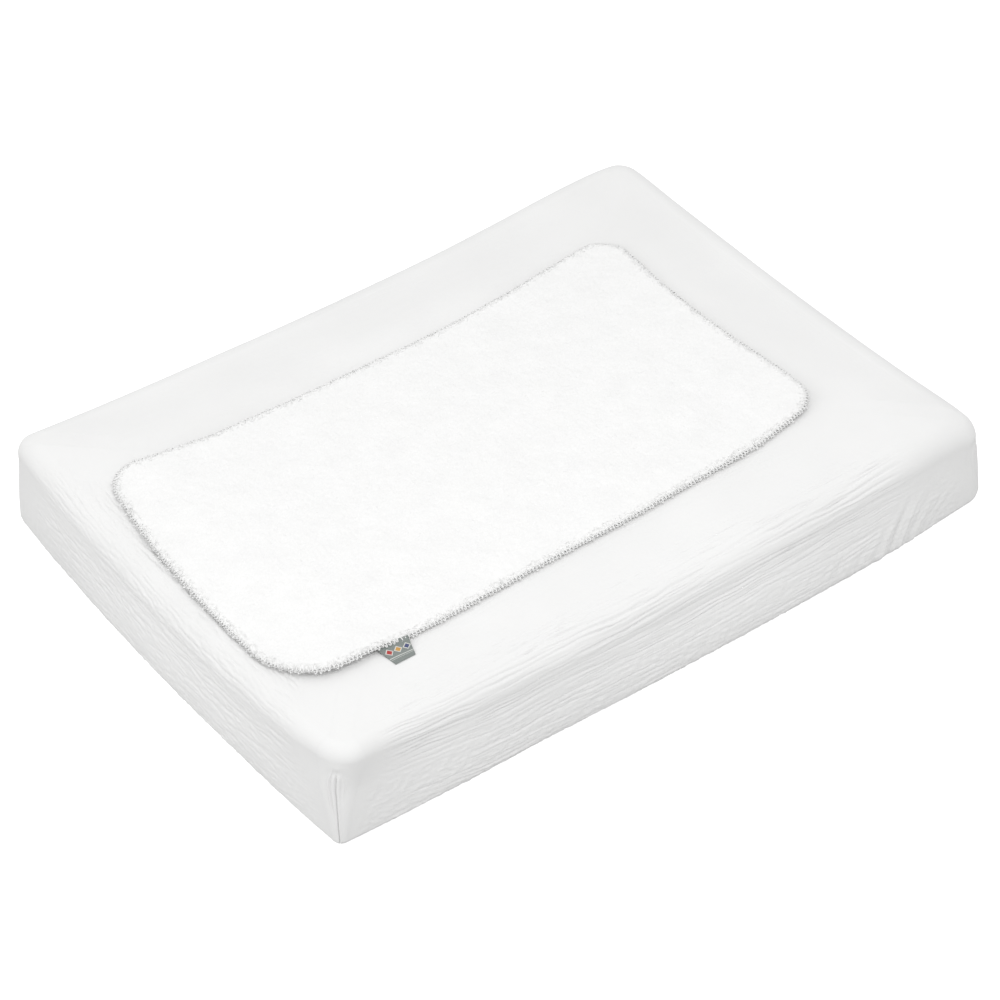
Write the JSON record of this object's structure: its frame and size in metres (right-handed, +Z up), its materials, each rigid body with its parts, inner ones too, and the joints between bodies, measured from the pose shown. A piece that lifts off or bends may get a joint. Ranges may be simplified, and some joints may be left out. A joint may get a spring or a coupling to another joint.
{
  "type": "changing pad",
  "caption": "Rectangular foam changing pad with a zipped moisture-proof casing, a fitted muslin cover, and a removable terry liner with a folded label tab.",
  "frame": {"origin": "centre of the footprint, on the surface the pad rests on", "axes": "+Z up; +X along the pad's length, towards the end with the wider bare strip beside the liner; -Y is the long side the label tab points to; the casing's zip is on the +Y side"},
  "size_m": [0.8232, 0.6292, 0.1106],
  "materials": {
    "muslin": "matte",
    "terry": "matte",
    "backing": "satin",
    "thread": "satin",
    "elastic": "matte",
    "foam": "matte",
    "casing": "satin",
    "zip_tape": "matte",
    "zip_teeth": "satin",
    "zip_metal": "satin",
    "label": "matte"
  },
  "bodies": {
    "pad": {"foam_core": "foam", "moisture_casing": "casing", "zip_tape_upper": "zip_tape", "zip_tape_lower": "zip_tape", "zip_teeth_upper": "zip_teeth", "zip_teeth_lower": "zip_teeth", "zip_bottom_stop": "zip_metal", "zip_top_stop_upper": "zip_metal", "zip_top_stop_lower": "zip_metal", "muslin_cover": "muslin", "hem_elastic": "elastic", "hem_stitch_thread": "thread", "corner_seam_front_left": "thread", "corner_seam_front_right": "thread", "corner_seam_rear_left": "thread", "corner_seam_rear_right": "thread"},
    "liner_rear_half": {"liner_terry_rear": "terry", "liner_backing_rear": "backing", "liner_serged_edge_rear": "thread"},
    "liner_front_half": {"liner_terry_front": "terry", "liner_backing_front": "backing", "liner_serged_edge_front": "thread"},
    "label": {"label_tab": "label"},
    "slider": {"zip_slider": "zip_metal"},
    "pull": {"zip_pull": "zip_metal"}
  },
  "joints": [
    {"name": "liner_lift", "type": "slide", "parent": "pad", "child": "liner_rear_half", "axis": [0, 0, 1], "range_m": [0, 0.12]},
    {"name": "liner_fold", "type": "hinge", "parent": "liner_rear_half", "child": "liner_front_half", "pos_m": [-0.0475, -0.017, 0.1103], "axis": [-1, 0, 0], "range_deg": [0, 172]},
    {"name": "label_flip", "type": "hinge", "parent": "liner_front_half", "child": "label", "pos_m": [-0.268, -0.2035, 0.1102], "axis": [-1, 0, 0], "range_deg": [0, 175]},
    {"name": "zip_travel", "type": "slide", "parent": "pad", "child": "slider", "axis": [-1, 0, 0], "range_m": [0, 0.625]},
    {"name": "zip_pull_lift", "type": "hinge", "parent": "slider", "child": "pull", "pos_m": [0.3125, 0.2966, 0.052], "axis": [0, 0, -1], "range_deg": [0, 10]}
  ]
}
